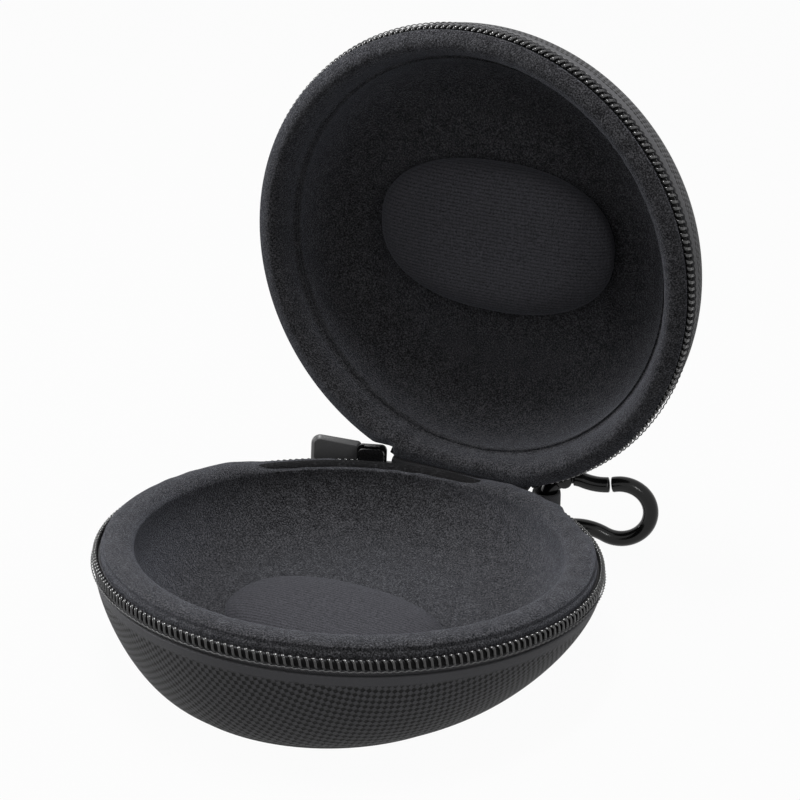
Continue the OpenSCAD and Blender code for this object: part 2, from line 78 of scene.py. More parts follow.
SLIDER_ANGLE, SLIDER_LEN, PARK_GAP = 115.0, 8.0, 0.4
PLATE_GAP, PLATE_T, TAB_T, TAB_PLAY, PULL_LEAN = 0.35, 1.0, 2.4, 0.15, 5.0
PULL_LEN, TAB_START, TAB_H, TAB_ROOT_H = 16.5, 3.1, 10.0, 6.8
BAR_R, OUTER_R, HANG_R, WAIST_W, WAIST_X = 2.05, 7.95, 7.0, 6.5, 8.0
HOOK_TURN, HOOK_DIP, HOOK_CLEAR = 19.9, 8.0, 0.3
LOOP_ANGLE, LOOP_REACH, WEBBING_W, WEBBING_T, LOOP_SLACK = 74.0, 11.0, 5.6, 0.8, 0.95
GATE_ANGLE, GATE_REACH, GATE_GAP, TONGUE_T = 118.0, 28.0, 0.3, 1.3

# Sizes of the looks.
ROUND = 384             # vertices round the case
BASE_LIP_OUT = 58.9     # where the base's rolled lip meets the zipper
BASE_LIP_IN = 57.6      # where it ends beside the hinge and the far stop, to leave room there
LIP_EASE = 0.6          # how far it draws in above the coil, to clear the shut lid's tape
LIP_DIP = 0.8           # how much lower it is at the hinge, as a share of its height
DIP_ANGLE = 114.0       # the middle of that dip
LIP_SWELL = 0.26        # how much higher it is beside the far stop, as a share of its height
SWELL_ANGLE = 42.0      # the middle of that swell
FAR_STOP_ANGLE = 45.0   # where the slider stops at the end of its travel
LID_LIP_IN = 51.7       # where the lid's lip leaves the dish
LID_LIP_OUT = 60.0      # how far out the lid's soft lip reaches when the case is open
LID_LIP_LOW = -2.8      # its lowest point below the parting plane, gathers included
LID_LIP_HINGE_Y = 57.3  # how near the hinge's fold it comes
LID_LIP_SLIDER_Y = 54.0  # the same beside the parked slider
WEAVE_CELL = 1.55       # one cell of the cover's basket weave
WEAVE_TURN = 50.0       # its threads' angle from +X
WIRE_R = 0.38           # the coil's nylon wire
HEAD_GAP = 0.06         # between the coil's heads and the parting plane
TAPE_CROWN = 0.55       # how far the tape bows out between the coil and the cover
THREAD_R = 0.15         # the thread that sews the coil to its tape
HINGE_CLOTH_EXTRA = 1.9  # how far the hinge's cloth runs on towards the slider
SMOOTH_BAND = (6.3, 6.9)  # depth below the rim at which the cover's smooth band ends
RIB_PITCH = 0.95        # ribs of the cushions
PAD_TUCK = 34.0         # how far round a cushion's side turns back under it, in degrees
PAD_OVAL = 2.3          # its outline: 2 is an ellipse, more is squarer
PAD_CROWN = 0.42        # its profile: less is flatter on top

# Radii from the teeth inwards, as in the frame.
TOOTH_IN, TOOTH_OUT = COIL_R - TOOTH_W / 2, COIL_R + TOOTH_W / 2
TAPE_OUT = TOOTH_IN - LAYER_GAP
COVER_EDGE_R = TAPE_OUT + LAYER_GAP + COVER_T
IN_COVER = COVER_T + LAYER_GAP
LIP_SIDE_R = COVER_EDGE_R - (IN_COVER + TAPE_T + LAYER_GAP) - CHANNEL_W
DISH_Z = LID_H - DISH_BACK
HINGE_Y = COIL_R - HINGE_INSET
HINGE_HALF = math.degrees(math.asin(HINGE_W / 2 / COIL_R))
DEG_PER_MM = math.degrees(1 / COIL_R)
STOP_FROM = HINGE_ANGLE + HINGE_HALF + STOP_GAP_DEG
TEETH_FROM = STOP_FROM + (STOP_LEN + TOOTH_PITCH) * DEG_PER_MM
TOOTH_STEP = TOOTH_PITCH * DEG_PER_MM
TOOTH_COUNT = math.floor((540 - 2 * TEETH_FROM) / TOOTH_STEP) + 1
PARKED_HALF = (SLIDER_LEN / 2 + PARK_GAP) * DEG_PER_MM
PARKED_TEETH = math.ceil((SLIDER_ANGLE + PARKED_HALF - TEETH_FROM) / TOOTH_STEP)

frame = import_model()


# ---------------------------------------------------------------- frames
def sind(a):
    return np.sin(np.radians(a))


def cosd(a):
    return np.cos(np.radians(a))


def turned(x, y, a):
    """x and y turned by a degrees."""
    return x * cosd(a) - y * sind(a), x * sind(a) + y * cosd(a)


def rim_point(p):
    """Points of the rim frame (last axis x, y, z) in the world, in millimetres."""
    p = np.asarray(p, float)
    y, z = turned(p[..., 1], p[..., 2], -RIM_TILT)
    return np.stack([p[..., 0], RIM_SHIFT + y, RIM_H + z], -1)


def open_point(p, share=1.0):
    """Points of the closed lid, in the rim frame, turned open about the hinge axis by that share."""
    p = np.asarray(p, float)
    y, z = turned(p[..., 1] - HINGE_Y, p[..., 2], -OPEN_ANGLE * share)
    return np.stack([p[..., 0], HINGE_Y + y, z], -1)


def lid_point(p):
    """Points of the closed lid, in the rim frame, placed in the world where the open lid holds them."""
    return rim_point(open_point(p))


def same(p):
    return p


def angles(n=ROUND):
    """n angles evenly round the case."""
    return np.arange(n) * 360 / n


def around(n=ROUND):
    return cosd(angles(n)), sind(angles(n))


def away_from(a, middle):
    """How far the angles a are from the middle one, in degrees."""
    return np.abs((a - middle + 180) % 360 - 180)


def near(a, middle, reach, fade):
    """1 round the middle angle, falling evenly to 0 over the last fade degrees of its reach."""
    return np.clip((reach - away_from(a, middle)) / fade, 0, 1)


def ease(share):
    """Turns an even rise from 0 to 1 into one that starts and ends softly."""
    return share * share * (3 - 2 * share)


def ring(r, z, place, n=ROUND):
    """n points round the axis of a frame; r and z may hold one number per angle."""
    c, s = around(n)
    return place(np.stack([r * c, r * s, z + np.zeros(n)], -1))


def bowl(top, bottom, roundness, share):
    """The ring at that share of the way down a rounded side, from the ring top to the ring bottom."""
    inward = 1 - cosd(90 * share) ** (2 / roundness)
    down = sind(90 * share) ** (2 / roundness)
    return top + (bottom - top) * [inward, inward, down]


def quarter(r0, z0, r1, z1, roundness, share):
    """The radius and height at that share of the way along a rounded side."""
    a = 90 * share
    return r1 + (r0 - r1) * max(0.0, cosd(a)) ** (2 / roundness), z0 + (z1 - z0) * sind(a) ** (2 / roundness)


# ---------------------------------------------------------------- meshes
def mesh_object(name, verts, faces, uv=None, smooth=True):
    """verts in millimetres; uv is one pair per vertex, in millimetres on the cloth."""
    mesh = bpy.data.meshes.new(name)
    mesh.from_pydata((np.asarray(verts) * MM).tolist(), [], faces)
    mesh.polygons.foreach_set("use_smooth", [smooth] * len(mesh.polygons))
    if uv is not None:
        layer = mesh.uv_layers.new(name="Cloth")
        index = np.zeros(len(mesh.loops), np.int32)
        mesh.loops.foreach_get("vertex_index", index)
        layer.data.foreach_set("uv", np.asarray(uv, np.float32)[index].ravel())
    mesh.validate()
    mesh.update()
    piece = bpy.data.objects.new(name, mesh)
    bpy.context.scene.collection.objects.link(piece)
    return piece


def ring_faces(count, n, closed=False):
    """Quads between neighbouring rings of n points, the last ring joined to the first if closed."""
    faces = []
    for j in range(count if closed else count - 1):
        a, b = j * n, (j + 1) % count * n
        faces += [(a + i, a + (i + 1) % n, b + (i + 1) % n, b + i) for i in range(n)]
    return faces


def end_faces(count, n):
    """One flat face over each end of a row of rings."""
    return [tuple(range(n))[::-1], tuple((count - 1) * n + i for i in range(n))]


def arc_uv(rings):
    """Lays rings of a bowl flat: each point at its distance from the middle, along its own line."""
    rings = np.asarray(rings)
    steps = np.linalg.norm(np.diff(rings, axis=0), axis=2)
    far = np.concatenate([np.zeros((1, rings.shape[1])), np.cumsum(steps, 0)])
    c, s = around(rings.shape[1])
    return np.stack([far * c, far * s], -1).reshape(-1, 2)


def closed_skin(name, rings, uv):
    """A mesh of rings of points with both ends closed at a point; uv is one pair for each ring's points."""
    count, n = rings.shape[:2]
    verts = np.concatenate([rings.reshape(-1, 3), rings[0].mean(0)[None], rings[-1].mean(0)[None]])
    faces = ring_faces(count, n)
    first, last, row = count * n, count * n + 1, (count - 1) * n
    faces += [(first, (i + 1) % n, i) for i in range(n)]
    faces += [(last, row + i, row + (i + 1) % n) for i in range(n)]
    return mesh_object(name, verts, faces, np.concatenate([uv, [[0, 0], [0, 0]]]))


def shell(name, outer, inner):
    """A closed skin: outer and inner are lists of rings from the pole to the rim and back."""
    rings = np.asarray(list(outer) + list(inner))
    pole = np.linalg.norm(rings[0] - rings[0].mean(0), axis=1).mean()
    c, s = around(rings.shape[1])
    uv = arc_uv(rings) + pole * np.tile(np.stack([c, s], -1), (len(rings), 1))
    return closed_skin(name, rings, uv)


def tube(path, radius, sides=10, up=None):
    """Verts and faces of a tube along path; radius is one number, or a pair (across, along up) per point."""
    path = np.asarray(path, float)
    n = len(path)
    ahead, behind = np.roll(path, -1, 0), np.roll(path, 1, 0)
    ahead[-1], behind[0] = path[-1], path[0]
    tangent = ahead - behind
    tangent /= np.linalg.norm(tangent, axis=1)[:, None]
    up = np.broadcast_to(np.asarray(up, float), path.shape)
    side = np.cross(tangent, up)
    side /= np.linalg.norm(side, axis=1)[:, None]
    top = np.cross(side, tangent)
    size = np.broadcast_to(np.asarray(radius, float), (n, 2))
    c, s = around(sides)
    verts = (path[:, None] + side[:, None] * (c[None, :, None] * size[:, None, :1])
             + top[:, None] * (s[None, :, None] * size[:, None, 1:])).reshape(-1, 3)
    return verts, ring_faces(n, sides) + end_faces(n, sides)


def join(parts):
    """One list of verts and faces from several."""
    verts, faces, start = [], [], 0
    for v, f in parts:
        verts.append(v)
        faces += [tuple(i + start for i in face) for face in f]
        start += len(v)
    return np.concatenate(verts), faces


def soften(piece, width, segments=3, angle=35):
    """Rounds a hard piece's edges."""
    bevel = piece.modifiers.new("Edges", "BEVEL")
    bevel.width, bevel.segments, bevel.limit_method = width * MM, segments, "ANGLE"
    bevel.angle_limit = math.radians(angle)
    return piece


# ---------------------------------------------------------------- materials
class Nodes:
    """A short way to write a material's nodes: each call adds one and gives its output."""

    def __init__(self, name):
        self.material = bpy.data.materials.new(name)
        self.material.use_nodes = True
        self.tree = self.material.node_tree
        self.shader = self.tree.nodes["Principled BSDF"]

    def set(self, **values):
        for key, value in values.items():
            self.shader.inputs[key.replace("_", " ")].default_value = value

    def add(self, kind, **props):
        node = self.tree.nodes.new("ShaderNode" + kind)
        for key, value in props.items():
            setattr(node, key, value)
        return node

    def link(self, source, target):
        if isinstance(source, (int, float)):
            target.default_value = source
        else:
            self.tree.links.new(source, target)

    def math(self, operation, a, b=0.0, c=0.0):
        node = self.add("Math", operation=operation)
        for value, socket in zip((a, b, c), node.inputs):
            self.link(value, socket)
        return node.outputs[0]

    def noise(self, vector, scale, detail=2.0, rough=0.5):
        node = self.add("TexNoise")
        node.inputs["Scale"].default_value = scale
        node.inputs["Detail"].default_value = detail
        node.inputs["Roughness"].default_value = rough
        self.link(vector, node.inputs["Vector"])
        return node.outputs["Fac"]

    def place(self):
        """The object's own coordinates, in millimetres."""
        scale = self.add("VectorMath", operation="SCALE")
        self.link(self.add("TexCoord").outputs["Object"], scale.inputs[0])
        scale.inputs["Scale"].default_value = 1 / MM
        return scale.outputs[0]

    def cloth(self, turn=0.0, cell=1.0):
        """The cloth's own flat coordinates in cells, turned by turn degrees."""
        uv = self.add("UVMap", uv_map="Cloth")
        mapping = self.add("Mapping", vector_type="POINT")
        mapping.inputs["Rotation"].default_value = (0, 0, math.radians(turn))
        mapping.inputs["Scale"].default_value = (1 / cell, 1 / cell, 1)
        self.link(uv.outputs[0], mapping.inputs[0])
        split = self.add("SeparateXYZ")
        self.link(mapping.outputs[0], split.inputs[0])
        return split.outputs[0], split.outputs[1]

    def ramp(self, value, *stops):
        node = self.add("ValToRGB")
        while len(node.color_ramp.elements) < len(stops):
            node.color_ramp.elements.new(0.5)
        for element, (position, colour) in zip(node.color_ramp.elements, stops):
            element.position, element.color = position, (*colour, 1)
        self.link(value, node.inputs[0])
        return node.outputs[0]

    def bump(self, height, distance, strength=1.0):
        """distance is the height's full depth, in millimetres."""
        node = self.add("Bump")
        node.inputs["Distance"].default_value = distance * MM
        node.inputs["Strength"].default_value = strength
        self.link(height, node.inputs["Height"])
        return node.outputs[0]

    def finish(self, colour=None, rough=None, normal=None):
        for value, key in ((colour, "Base Color"), (rough, "Roughness"), (normal, "Normal")):
            if value is not None:
                self.link(value, self.shader.inputs[key])
        return self.material


def grey(value, blue=1.08):
    """A dark grey, in linear light, slightly blue."""
    return (value, value, value * blue)


def woven_cover_material(name):
    """Woven cloth with a small pit in each cell, each pit painted darker as shade, smooth where it is turned
    in at the edge.
    """
    m = Nodes(name)
    u, v = m.cloth(WEAVE_TURN, WEAVE_CELL)
    place = m.place()
    fibre = m.noise(place, 5.0, 3.0, 0.6)
    patch = m.noise(place, 0.12, 2.0)

    def waves(across):
        return m.math("COSINE", m.math("MULTIPLY_ADD", fibre, 0.9, m.math("MULTIPLY", across, 2 * math.pi)))
    dot = m.math("ADD", waves(u), waves(v))
    pit = m.math("SMOOTH_MIN", m.math("MAXIMUM", m.math("MULTIPLY_ADD", dot, 0.75, 0.30), 0.0), 1.0, 0.1)
    edge = m.add("MapRange", interpolation_type="SMOOTHSTEP")
    m.link(m.add("Attribute", attribute_name="below_rim").outputs["Fac"], edge.inputs["Value"])
    edge.inputs["From Min"].default_value, edge.inputs["From Max"].default_value = SMOOTH_BAND
    woven = edge.outputs["Result"]
    pit = m.math("MULTIPLY", pit, woven)
    seam = m.math("MULTIPLY", m.math("MULTIPLY", woven, m.math("SUBTRACT", 1.0, woven)), 1.6)
    height = m.math("ADD", m.math("SUBTRACT", m.math("MULTIPLY", fibre, 0.35), pit), seam)
    uneven = m.math("ADD", m.math("MULTIPLY_ADD", fibre, 0.5, -0.25),
                    m.math("MULTIPLY_ADD", patch, 0.2, -0.1))
    # The colour is darker in each pit: painted shade in the pits, on top of the cloth's random unevenness.
    pit_shade_and_tone = m.math("ADD", m.math("SUBTRACT", 1.0, pit), uneven)
    colour = m.ramp(pit_shade_and_tone, (0.05, grey(0.0015)), (0.55, grey(0.012)), (1.0, grey(0.042)))
    m.set(Specular_IOR_Level=0.14, Sheen_Weight=0.03, Sheen_Roughness=0.5)
    return m.finish(colour, m.math("MULTIPLY_ADD", fibre, 0.2, 0.5), m.bump(height, 0.42, 1.0))


def velvet_material(name, dark, light, sheen, grain):
    """Short-pile cloth, mottled between two greys by the lie of its fibres; grain is in 1/mm."""
    m = Nodes(name)
    place = m.place()
    fine = m.noise(place, grain, 3.0, 0.65)
    lie = m.noise(place, 0.35, 3.0, 0.55)
    pile = m.math("MULTIPLY_ADD", fine, 0.88, m.math("MULTIPLY", lie, 0.12))
    colour = m.ramp(pile, (0.37, grey(dark)), (0.50, grey(light * 0.3)), (0.63, grey(light)))
    m.set(Roughness=0.95, Specular_IOR_Level=0.08, Sheen_Weight=sheen, Sheen_Roughness=0.38,
          Sheen_Tint=(0.80, 0.84, 1.0, 1))
    return m.finish(colour, None, m.bump(pile, 0.65, 1.0))


def ribbed_material(name):
    """Knitted cloth with fine ribs."""
    m = Nodes(name)
    u, v = m.cloth(0.0, RIB_PITCH)
    place = m.place()
    fine = m.noise(place, 3.0, 3.0, 0.65)
    wave = m.math("MULTIPLY_ADD", fine, 0.5, v)
    rib = m.math("ABSOLUTE", m.math("SINE", m.math("MULTIPLY", wave, math.pi)))
    stitch = m.math("ABSOLUTE", m.math("SINE", m.math("MULTIPLY", u, math.pi)))
    height = m.math("ADD", m.math("MULTIPLY_ADD", rib, 0.14, m.math("MULTIPLY", fine, 0.9)),
                    m.math("MULTIPLY", stitch, 0.03))
    colour = m.ramp(height, (0.36, grey(0.006, 1.15)), (0.72, grey(0.040, 1.15)))
    m.set(Roughness=0.92, Specular_IOR_Level=0.1, Sheen_Weight=0.06, Sheen_Roughness=0.4,
          Sheen_Tint=(0.82, 0.86, 1.0, 1))
    return m.finish(colour, None, m.bump(height, 0.22, 0.8))


def tape_material(name, light):
    """Fine twill tape."""
    m = Nodes(name)
    place = m.place()
    fine = m.noise(place, 4.0, 3.0, 0.6)
    twill = m.add("TexWave", wave_type="BANDS", bands_direction="DIAGONAL")
    twill.inputs["Scale"].default_value = 0.9
    twill.inputs["Distortion"].default_value = 0.6
    m.link(place, twill.inputs["Vector"])
    height = m.math("MULTIPLY_ADD", twill.outputs["Fac"], 0.6, m.math("MULTIPLY", fine, 0.4))
    colour = m.ramp(height, (0.2, grey(light * 0.35)), (0.85, grey(light)))
    m.set(Roughness=0.8, Specular_IOR_Level=0.2, Sheen_Weight=0.1, Sheen_Roughness=0.4)
    return m.finish(colour, None, m.bump(height, 0.1, 0.7))


def plastic_material(name, value, rough, spread, bump, scale, spec):
    """Moulded plastic or rubber with a slight grain of that scale (1/mm) and bump (mm), and handling
    marks that spread its roughness."""
    m = Nodes(name)
    place = m.place()
    grain = m.noise(place, scale, 4.0, 0.6)
    marks = m.noise(place, scale * 0.15, 2.0)
    colour = m.ramp(grain, (0.3, grey(value * 0.85, 1.03)), (0.7, grey(value * 1.15, 1.03)))
    m.set(Specular_IOR_Level=spec)
    worn = m.math("MULTIPLY_ADD", marks, spread, rough - spread / 2)
    return m.finish(colour, worn, m.bump(grain, bump, 0.6))


def metal_material(name, value, rough):
    """Cast or drawn metal with a fine grain."""
    m = Nodes(name)
    place = m.place()
    grain = m.noise(place, 2.5, 4.0, 0.6)
    colour = m.ramp(grain, (0.3, grey(value * 0.85, 1.02)), (0.7, grey(value * 1.1, 1.02)))
    m.set(Metallic=1.0)
    return m.finish(colour, m.math("MULTIPLY_ADD", grain, 0.16, rough - 0.08), m.bump(grain, 0.015, 0.5))


MATERIALS = {name: make(name, **values) for name, make, values in (
    ("woven_cover", woven_cover_material, {}),
    ("velvet_lining", velvet_material, dict(dark=0.001, light=0.055, sheen=0.13, grain=2.7)),
    ("moulded_foam", velvet_material, dict(dark=0.006, light=0.012, sheen=0.0, grain=1.2)),
    ("ribbed_pad", ribbed_material, {}),
    ("zipper_tape", tape_material, dict(light=0.05)),
    ("webbing", tape_material, dict(light=0.06)),
    ("zipper_coil", plastic_material,
     dict(value=0.010, rough=0.20, spread=0.08, bump=0.008, scale=2.0, spec=0.6)),
    # painted shade between the coil's turns
    ("cord_black", plastic_material,
     dict(value=0.003, rough=0.80, spread=0.05, bump=0.03, scale=3.0, spec=0.1)),
    ("thread", plastic_material,
     dict(value=0.02, rough=0.50, spread=0.1, bump=0.02, scale=3.0, spec=0.5)),
    ("rubber_foot", plastic_material,
     dict(value=0.014, rough=0.55, spread=0.12, bump=0.05, scale=2.0, spec=0.4)),
    ("pull_rubber", plastic_material,
     dict(value=0.030, rough=0.40, spread=0.1, bump=0.03, scale=2.5, spec=0.5)),
    ("hook_plastic", plastic_material,
     dict(value=0.004, rough=0.15, spread=0.05, bump=0.008, scale=0.8, spec=0.26)),
    ("slider_metal", metal_material, dict(value=0.05, rough=0.28)),
    ("pin_steel", metal_material, dict(value=0.45, rough=0.3)),
)}


def dress(piece, body, slot, *nodes, material=None):
    """Gives a new piece its material, its body and the nodes it stands for."""
    piece.data.materials.clear()
    piece.data.materials.append(MATERIALS[material or slot])
    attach(piece, body)
    if nodes:
        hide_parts(*nodes)
    return piece


# ---------------------------------------------------------------- covers and linings
def base_side(inset, share):
    """A ring of the base's side, that far in from its face, from the rim (0) down to the foot (1)."""
    return bowl(ring(COVER_EDGE_R - inset, -COVER_DROP, rim_point),
                ring(BASE_FLAT_R - inset, FOOT_T + LAYER_GAP + inset, same), BASE_ROUND, share)


def lid_side(inset, share, n=ROUND):
    """The same of the lid's side, from its rim (0) to its flat top (1)."""
    r, z = quarter(COVER_EDGE_R - inset, COVER_DROP, LID_FLAT_R - inset, LID_H - inset, LID_ROUND, share)
    return ring(r, z, lid_point, n)


def hem(place, sign):
    """The cover's folded edge, from its outer side to its inner side."""
    middle, fold = COVER_EDGE_R - COVER_T / 2, 0.3
    return [ring(middle + COVER_T / 2 * cosd(a), sign * (COVER_DROP - fold * sind(a)), place)
            for a in (30, 60, 90, 120, 150)]


def mark_depth(piece, plane, deeper):
    """Writes each point's distance from the parting plane, in millimetres, for the cover's material."""
    verts = np.empty(len(piece.data.vertices) * 3)
    piece.data.vertices.foreach_get("co", verts)
    depth = (verts.reshape(-1, 3) / MM - plane) @ (deeper - plane)
    attribute = piece.data.attributes.new("below_rim", "FLOAT", "POINT")
    attribute.data.foreach_set("value", depth.astype(np.float32))


def base_cover():
    """The base's woven cover: bottom, side and folded edge outside, and the same back inside."""
    bottom = FOOT_T + LAYER_GAP
    outer = [ring(r, bottom, same) for r in np.linspace(2, BASE_FLAT_R - 1, 12)]
    outer += [base_side(0, s) for s in np.linspace(1, 0, 56)]
    inner = hem(rim_point, -1) + [base_side(COVER_T, s) for s in np.linspace(0, 1, 20)]
    inner += [ring(r, bottom + COVER_T, same) for r in np.linspace(BASE_FLAT_R - COVER_T - 1, 2, 4)]
    cover = shell("cover_base_woven", outer, inner)
    mark_depth(cover, rim_point(np.array([0.0, 0, 0])), rim_point(np.array([0.0, 0, -1])))
    dress(cover, "base", "woven_cover", "base_cover")


def lid_cover():
    """The lid's woven cover, made in the same way."""
    outer = [ring(r, LID_H, lid_point) for r in np.linspace(2, LID_FLAT_R - 1, 12)]
    outer += [lid_side(0, s) for s in np.linspace(1, 0, 56)]
    inner = hem(lid_point, 1) + [lid_side(COVER_T, s) for s in np.linspace(0, 1, 20)]
    inner += [ring(r, LID_H - COVER_T, lid_point) for r in np.linspace(LID_FLAT_R - COVER_T - 1, 2, 4)]
    cover = shell("cover_lid_woven", outer, inner)
    mark_depth(cover, lid_point(np.array([0.0, 0, 0])), lid_point(np.array([0.0, 0, 1])))
    dress(cover, "lid", "woven_cover", "lid_cover")


def beside_hinge(full, none):
    """1 within full degrees of the hinge's middle, falling smoothly to 0 at none degrees from it."""
    return ease(near(angles(), HINGE_ANGLE, none, none - full))


def puckers(count, seed):
    """Small uneven gathers round a lip, between -1 and 1."""
    a = np.radians(angles())
    rng = np.random.default_rng(seed)
    total = np.zeros(ROUND)
    for _ in range(5):
        total += np.sin(a * rng.integers(count // 2, count) + rng.uniform(0, 6.28)) * rng.uniform(0.2, 0.5)
    return np.clip(total, -1, 1)


def smooth_path(points, steps=4):
    """A smooth run through the points (Catmull-Rom); each may hold one number per angle."""
    pts = [2 * points[0] - points[1]] + list(points) + [2 * points[-1] - points[-2]]
    out = []
    for p, q, r, t in zip(pts, pts[1:], pts[2:], pts[3:]):
        for k in range(steps):
            f = k / steps
            out.append(0.5 * (2 * q + (r - p) * f + (2 * p - 5 * q + 4 * r - t) * f * f
                              + (3 * q - p - 3 * r + t) * f ** 3))
    return out + [points[-1]]


def base_lining():
    """Cloth rolled over the rim: it draws in where the slider stops and dips at the hinge."""
    a = angles()
    drawn_in = np.maximum(beside_hinge(30, 36), ease(near(a, FAR_STOP_ANGLE, 10.5, 5)))
    side_r = BASE_LIP_OUT - (BASE_LIP_OUT - BASE_LIP_IN) * drawn_in
    inner_r = LIP_SIDE_R - LIP_W
    dip, swell = ease(near(a, DIP_ANGLE, 42, 18)), ease(near(a, SWELL_ANGLE, 34, 16))
    height = LIP_H * (1 - LIP_DIP * dip + LIP_SWELL * swell) + 0.1 * puckers(60, 3)

    def lip(inset, turn):
        """The lip's ring at that turn round its own section: 0 is its outer side, 90 its crest."""
        mid, half = (side_r + inner_r) / 2, (side_r - inner_r) / 2 - inset
        square = 0.8 if turn < 90 else 1.0
        z = (height - inset) * sind(turn) ** square
        r = mid + half * np.sign(cosd(turn)) * abs(cosd(turn)) ** square
        limit = side_r - inset - LIP_EASE * np.clip((z - 0.2) / 0.8, 0, 1)
        return ring(np.minimum(r, limit), z, rim_point)

    def wall(inset, share):
        """The well's round side, from the lip (0) down to its floor (1)."""
        floor_ring = ring(FLOOR_R + inset, FLOOR_Z - inset, same)
        return bowl(ring(inner_r + inset, 0, rim_point), floor_ring, 2, share)
    foot = -COVER_DROP + LAYER_GAP
    outer = [ring(r, FLOOR_Z, same) for r in np.linspace(2, FLOOR_R - 1, 10)]
    outer += [wall(0, s) for s in np.linspace(1, 0.03, 32)] + [lip(0, t) for t in np.linspace(180, 0, 32)]
    outer += [ring(side_r - 0.5 * k ** 2, foot * k, rim_point) for k in (0.3, 0.6, 1)]
    inner = [ring(side_r - LINING_T - 0.5 * k ** 2, foot * k, rim_point) for k in (1, 0.4)]
    inner += [lip(LINING_T, t) for t in np.linspace(0, 180, 14)]
    inner += [wall(LINING_T, s) for s in np.linspace(0.1, 1, 12)]
    dress(shell("lining_base_velvet", outer, inner), "base", "velvet_lining", "base_lining")


def lid_lip_limit():
    """How far out the lid's lip may reach at each angle: it keeps clear of the hinge strip and the slider."""
    a = angles()
    towards_hinge = np.where(away_from(a, HINGE_ANGLE) < 50, sind(a), 0.6)
    limit = np.minimum(LID_LIP_OUT, LID_LIP_HINGE_Y / towards_hinge)
    dent = near(a, SLIDER_ANGLE, 5.2, 0.9)
    return limit - np.maximum(limit - LID_LIP_SLIDER_Y / towards_hinge, 0) * dent


def lid_lining():
    """The lid's lip stands proud of the zipper when the case is open."""
    dish_edge = [(LID_LIP_IN, 4.7), (52.1, 4.9), (52.55, 4.55), (52.9, 3.7), (53.1, 2.4)]
    crest = [(53.6, 0.7), (54.3, -0.8), (55.2, -1.9), (56.2, -2.45), (57.3, -2.4), (58.4, -2.0), (59.3, -1.5)]
    back = [(LID_LIP_OUT, -0.9), (59.6, -0.35), (58.7, -0.05), (58.2, 0.7), (58.05, 2.0), (57.95, 3.6)]
    share = (lid_lip_limit() - LID_LIP_IN) / (LID_LIP_OUT - LID_LIP_IN)
    flatter = 1 - 0.45 * beside_hinge(10, 24)
    gather = 0.12 * puckers(90, 5)
    last_gathered = len(dish_edge + crest) - 1
    points = []
    for k, (r, z) in enumerate(dish_edge + crest + back):
        weight = math.sin(math.pi * min(1.0, k / last_gathered))
        level = z * flatter if z < 0 else z
        points.append(np.stack([LID_LIP_IN + (r - LID_LIP_IN) * share, level + gather * weight]))
    path = smooth_path(points)

    def dish(inset, share):
        r, z = quarter(LID_LIP_IN + inset, dish_edge[0][1], DISH_R + inset, DISH_Z + inset, DISH_ROUND, share)
        return ring(r, z, lid_point)
    outer = [ring(r, DISH_Z, lid_point) for r in np.linspace(2, DISH_R - 1, 10)]
    outer += [dish(0, s) for s in np.linspace(1, 0.05, 32)] + [ring(r, z, lid_point) for r, z in path]
    inner = [ring(r - LINING_T, z + 0.4 * LINING_T, lid_point) for r, z in (path[-1], path[-6])]
    inner += [ring(56.2, 1.4, lid_point), ring(54.6, 3.2, lid_point)]
    inner += [dish(LINING_T, s) for s in np.linspace(0.1, 1, 12)]
    lining = shell("lining_lid_velvet", outer, inner)
    dress(lining, "lid", "velvet_lining", "lid_lining")
    deep = DISH_Z + LINING_T
    anchor, lip = lid_point(np.array([0, 0, deep])), lid_point(np.array([0, 0, LID_LIP_LOW]))
    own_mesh(lining)


# ---------------------------------------------------------------- cushions
def oval_cushion(name, size, place):
    """A crowned oval whose sides draw in towards its foot, with a soft edge and a slack top."""
    length, width, height = size
    n, first_turn = 128, 89.5
    c, s = around(n)
    full = (abs(c) ** PAD_OVAL + abs(s) ** PAD_OVAL) ** (-1 / PAD_OVAL)
    rings = []
    for a in np.concatenate([np.linspace(first_turn, 60, 14), np.linspace(57, -PAD_TUCK, 34)]):
        spread = cosd(a) ** PAD_CROWN * full
        level = height * (sind(a) + sind(PAD_TUCK)) / (1 + sind(PAD_TUCK))
        x, y = length / 2 * spread * c, width / 2 * spread * s
        rings.append(place(np.stack([x, y, np.full(n, level)], -1)))
    rings = np.asarray(rings)
    flat = np.stack([length / 2 * c, width / 2 * s], -1)
    far = np.linalg.norm(np.diff(rings, axis=0), axis=2).cumsum(0) / np.linalg.norm(flat, axis=1)
    share = np.concatenate([np.zeros((1, n)), far]) + cosd(first_turn) ** PAD_CROWN
    return closed_skin(name, rings, (flat[None] * share[..., None]).reshape(-1, 2))


def cushions():
    """The oval cushions on the base's floor and on the lid's dish."""
    base = oval_cushion("cushion_base", BASE_PAD, lambda p: p + [0, 0, FLOOR_Z + LAYER_GAP])
    dress(base, "base", "velvet_lining", "base_pad", material="ribbed_pad")
    lid = oval_cushion("cushion_lid", LID_PAD, lambda p: lid_point(
        np.asarray(p) * [1, 1, -1] + [0, -LID_PAD_SHIFT, DISH_Z - LAYER_GAP]))
    dress(lid, "lid", "ribbed_pad", "lid_pad")


# ---------------------------------------------------------------- zipper
def tooth_angles(up):
    """The angles of one row's teeth: the base's (0), or the lid's (1), which skips the parked slider."""
    return [TEETH_FROM + (i + up / 2) * TOOTH_STEP for i in range(up * PARKED_TEETH, TOOTH_COUNT - up)]


def polar(r, a, z):
    """Points of the rim frame by radius, angle and height; each may be a number or an array."""
    return np.stack([r * cosd(a), r * sind(a), z + 0 * r * a], -1)


